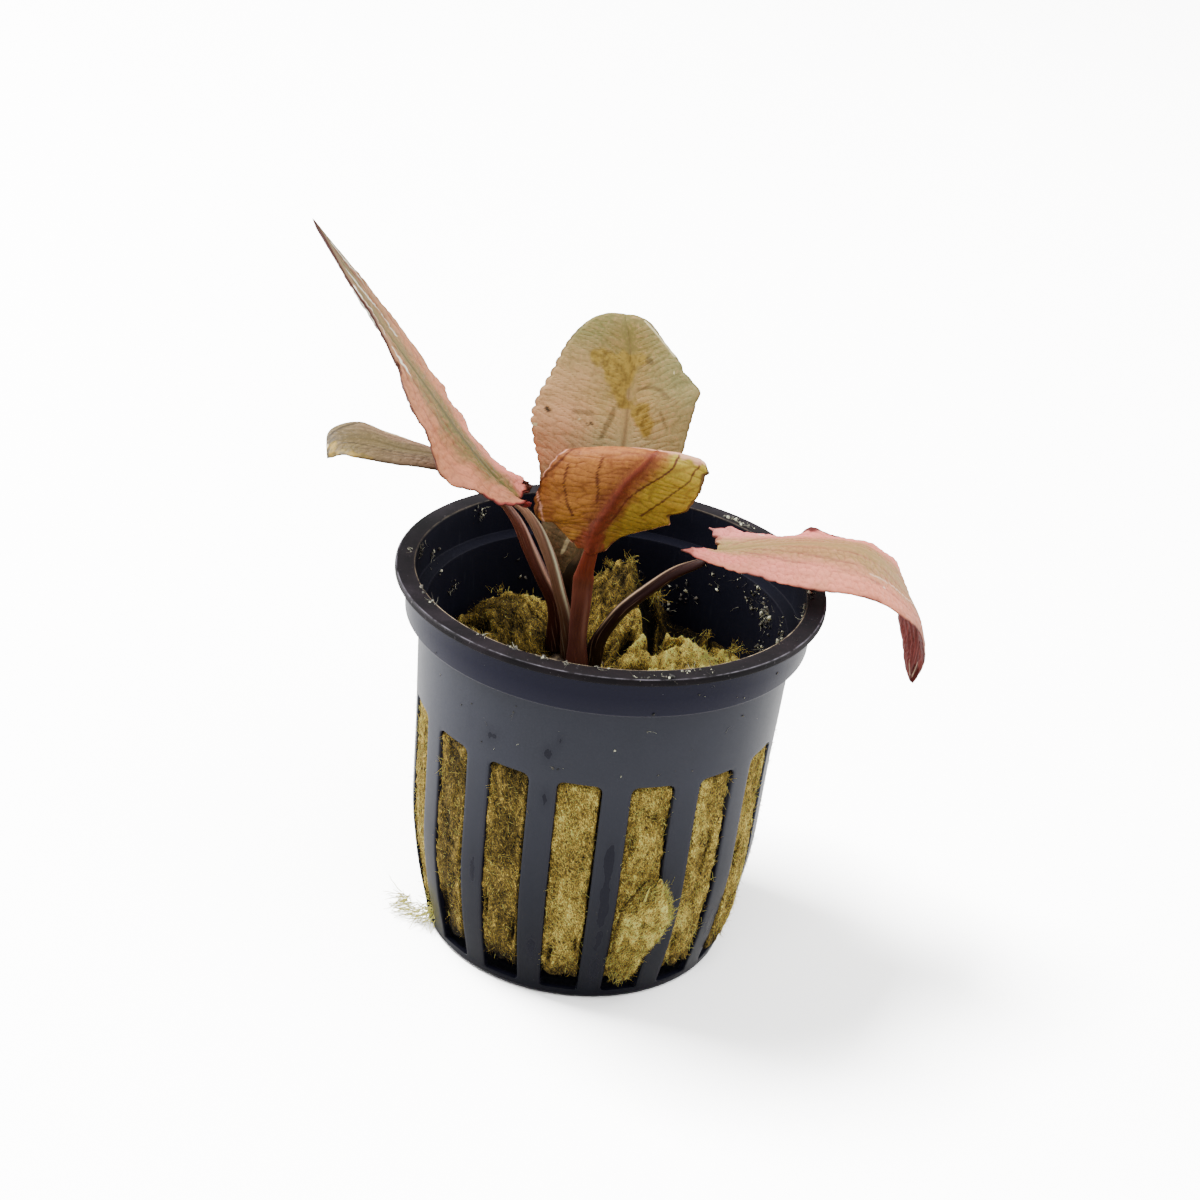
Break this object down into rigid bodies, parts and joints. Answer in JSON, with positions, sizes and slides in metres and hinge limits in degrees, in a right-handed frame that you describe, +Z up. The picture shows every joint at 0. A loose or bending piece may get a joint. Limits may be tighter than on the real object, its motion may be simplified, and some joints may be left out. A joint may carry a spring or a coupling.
{
  "type": "potted aquarium plant",
  "caption": "Small pink cryptocoryne with wavy long-stalked leaves, rooted in a mineral wool plug inside a round slotted net pot.",
  "frame": {"origin": "centre of the pot's flat underside", "axes": "+Z up, the pot's axis; the plant's front faces -Y, and its tall leaf leans towards -X"},
  "size_m": [0.0836, 0.055, 0.0907],
  "materials": {
    "pot_plastic": "satin",
    "mineral_wool": "matte",
    "rootstock": "matte",
    "leaf_tall": "satin",
    "leaf_left": "satin",
    "leaf_back": "satin",
    "leaf_front": "satin",
    "leaf_right": "satin"
  },
  "bodies": {
    "root": {"net_pot": "pot_plastic", "rockwool_plug": "mineral_wool", "crown": "rootstock", "leaf_tall": "leaf_tall", "leaf_left": "leaf_left", "leaf_back": "leaf_back", "leaf_front": "leaf_front", "leaf_right": "leaf_right"}
  },
  "joints": []
}
